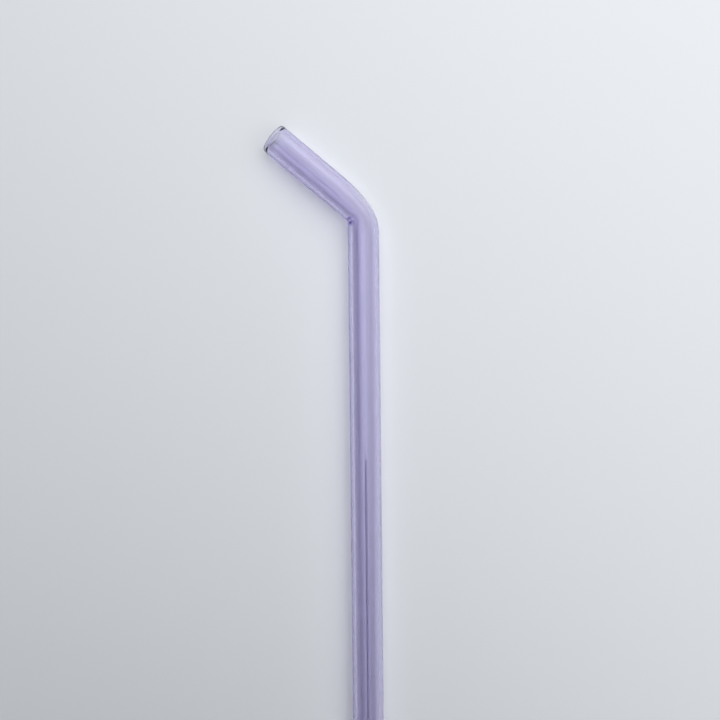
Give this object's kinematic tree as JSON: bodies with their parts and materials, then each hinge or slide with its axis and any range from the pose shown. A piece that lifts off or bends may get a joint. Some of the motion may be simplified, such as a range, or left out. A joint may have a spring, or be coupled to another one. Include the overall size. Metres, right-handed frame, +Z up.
{
  "type": "bent glass drinking straw",
  "caption": "Rigid drinking straw of clear lilac glass: one round tube with a straight leg, a creased bend near the top and a short slanted mouth end, with melted round rims.",
  "frame": {"origin": "centre of the bottom of the straw's box, on the surface that it lies on", "axes": "+Y along the straight leg towards the bend, +Z up from the surface, and the mouth end turns off to the -X side"},
  "size_m": [0.0294, 0.193, 0.008],
  "materials": {
    "lilac_glass": "clear transparent glass with a light lilac tint, fire polished"
  },
  "bodies": {
    "root": {"straw": "lilac_glass"}
  },
  "joints": []
}
